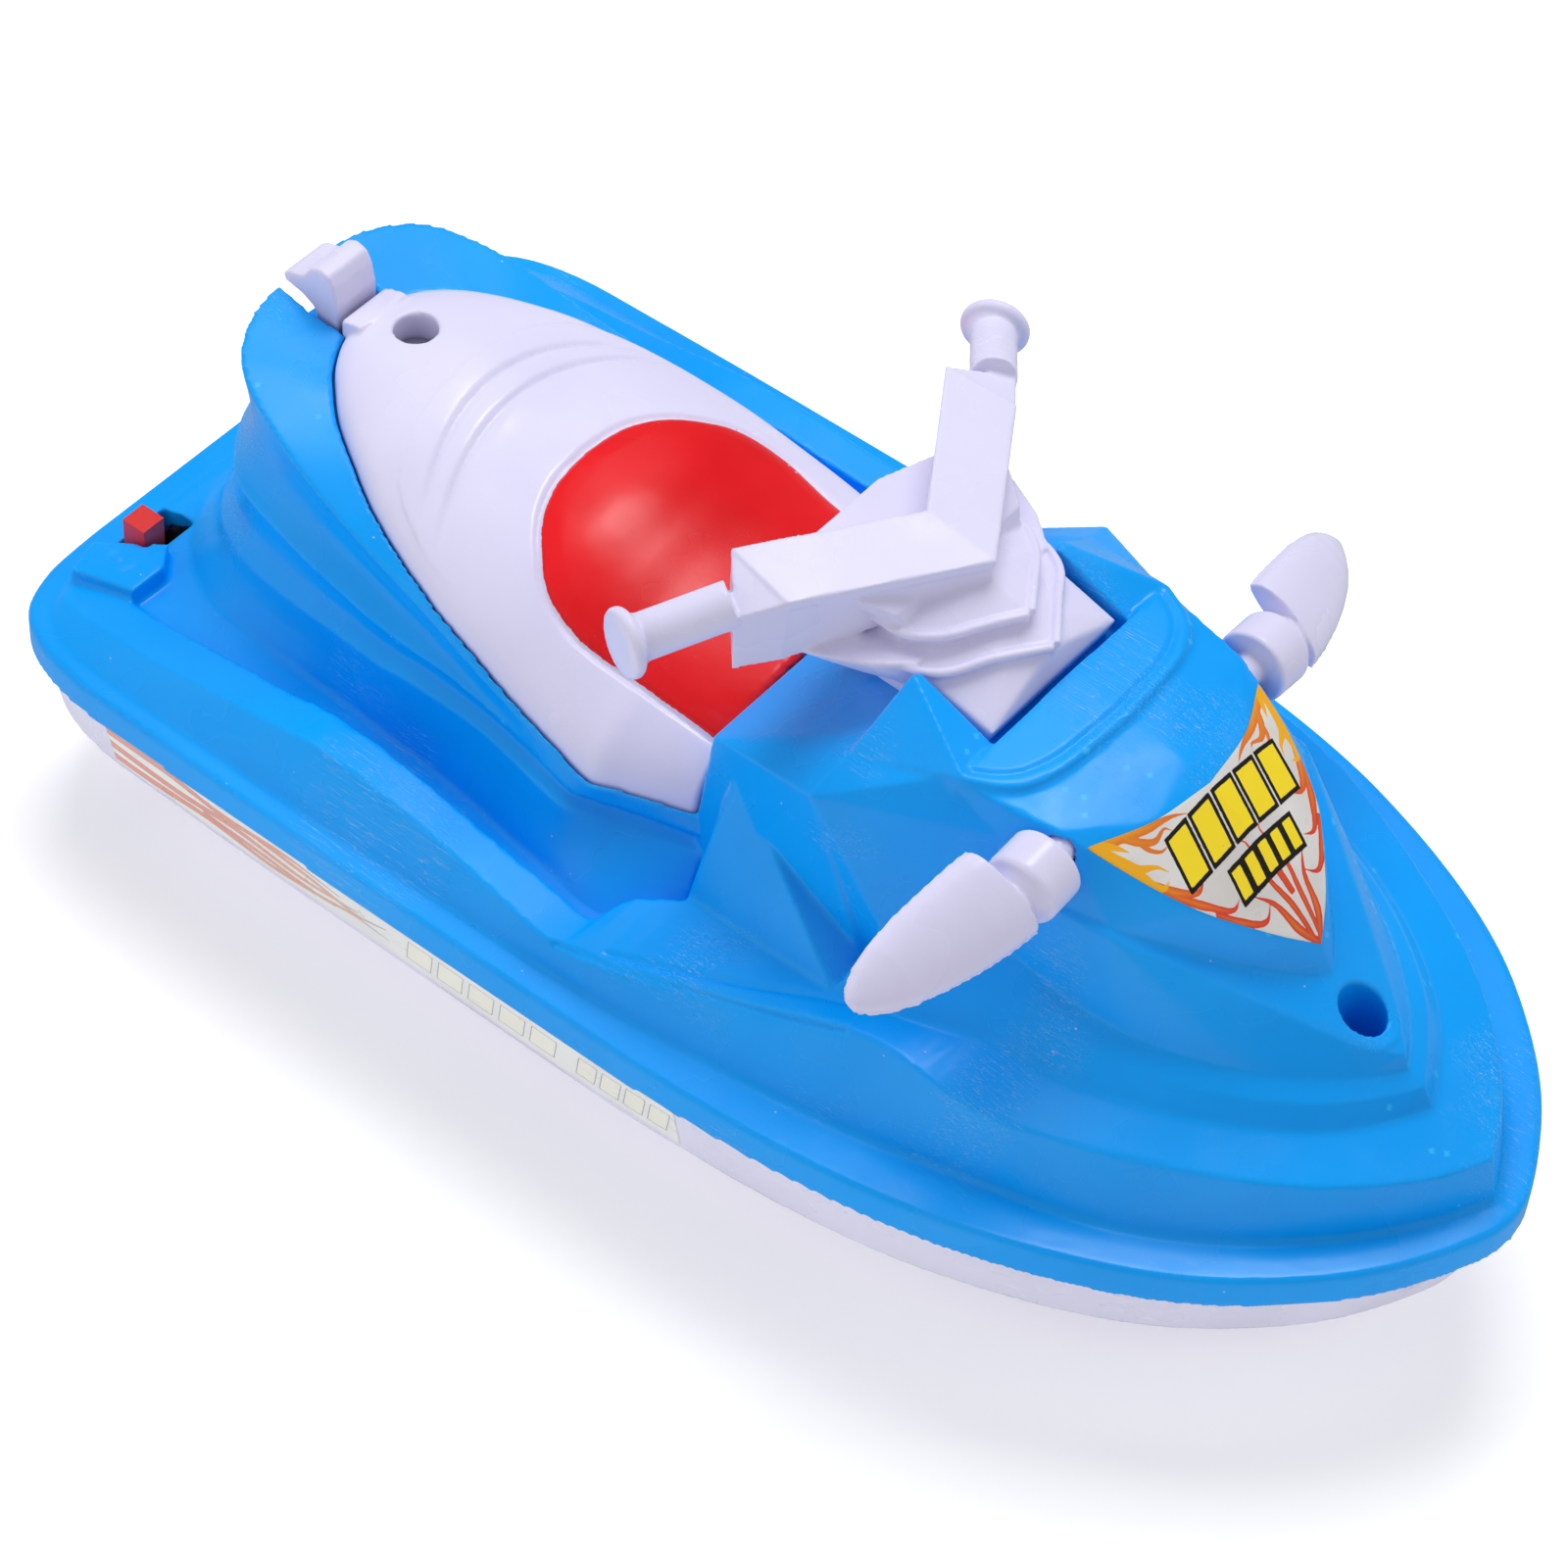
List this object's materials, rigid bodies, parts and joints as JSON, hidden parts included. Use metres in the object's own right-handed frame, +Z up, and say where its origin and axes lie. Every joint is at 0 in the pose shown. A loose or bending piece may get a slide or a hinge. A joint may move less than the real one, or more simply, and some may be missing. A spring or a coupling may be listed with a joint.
{
  "type": "toy boat",
  "caption": "Battery toy jet-ski boat: moulded deck on a flat-keel hull, lift-off seat cover over the battery bay, fixed handlebar, swivelling mirrors, slide switch, screw propeller.",
  "frame": {"origin": "middle of the overall bounding box in plan, on the keel's lowest flat", "axes": "+X towards the bow, +Y to port, +Z up"},
  "size_m": [0.22, 0.1108, 0.0906],
  "materials": {
    "blue_plastic": "glossy moulded blue",
    "white_plastic": "glossy white with a cool lavender cast",
    "seat_white": "glossy white cover with a domed pad painted glossy red",
    "red_plastic": "glossy red",
    "black_plastic": "satin black",
    "grey_plastic": "satin grey",
    "motor_cap_plastic": "satin off-white",
    "battery_jacket": "printed shrink sleeve, plain",
    "screw_steel": "zinc-plated",
    "contact_plate": "nickel-plated",
    "motor_steel": "drawn steel can",
    "coupling_rubber": "soft tube",
    "tube_brass": "turned",
    "sticker_film": "silvery white printed film with plain flame and bar shapes",
    "wire_red_pvc": "flexible insulation",
    "wire_black_pvc": "flexible insulation"
  },
  "bodies": {
    "boat": {"deck_shell": "blue_plastic", "hull_shell": "white_plastic", "handlebar_console": "white_plastic", "switch_body": "black_plastic", "bow_screw": "screw_steel", "stern_screw_left": "screw_steel", "stern_screw_right": "screw_steel", "battery_tray": "grey_plastic", "battery_left": "battery_jacket", "battery_right": "battery_jacket", "battery_bridge_contact": "contact_plate", "battery_flat_contact": "contact_plate", "battery_spring_contact": "contact_plate", "motor_can": "motor_steel", "motor_end_cap": "motor_cap_plastic", "motor_strap": "grey_plastic", "motor_strap_screw_left": "screw_steel", "motor_strap_screw_right": "screw_steel", "stern_tube": "tube_brass", "front_sticker": "sticker_film", "side_sticker_left": "sticker_film", "side_sticker_right": "sticker_film", "wire_red": "wire_red_pvc", "wire_black": "wire_black_pvc"},
    "switch": {"switch_knob": "red_plastic"},
    "latch": {"seat_latch": "white_plastic"},
    "mirror_port": {"mirror_left": "white_plastic"},
    "mirror_starboard": {"mirror_right": "white_plastic"},
    "drivetrain": {"propeller": "white_plastic", "prop_shaft": "screw_steel", "shaft_coupling": "coupling_rubber", "motor_shaft": "screw_steel"},
    "seat": {"seat_cover": "seat_white", "seat_screw": "screw_steel"}
  },
  "joints": [
    {"name": "drive_spin", "type": "hinge", "parent": "boat", "child": "drivetrain", "pos_m": [-0.092, 0, 0.0105], "axis": [1, 0, 0], "continuous": true},
    {"name": "switch_slide", "type": "slide", "parent": "boat", "child": "switch", "axis": [0, 1, 0], "range_m": [0, 0.004]},
    {"name": "seat_lift", "type": "hinge", "parent": "boat", "child": "seat", "pos_m": [-0.0061, 0, 0.0585], "axis": [0, 1, 0], "range_deg": [0, 50]},
    {"name": "latch_flex", "type": "hinge", "parent": "seat", "child": "latch", "pos_m": [-0.0895, 0, 0.0605], "axis": [0, 1, 0], "range_deg": [0, 5]},
    {"name": "mirror_port_swivel", "type": "hinge", "parent": "boat", "child": "mirror_port", "pos_m": [0.0461, 0.0217, 0.0702], "axis": [0, 0.9962, -0.0869], "range_deg": [-15, 15]},
    {"name": "mirror_starboard_swivel", "type": "hinge", "parent": "boat", "child": "mirror_starboard", "pos_m": [0.0461, -0.0217, 0.0702], "axis": [0, -0.9962, -0.0869], "range_deg": [-15, 15]}
  ]
}
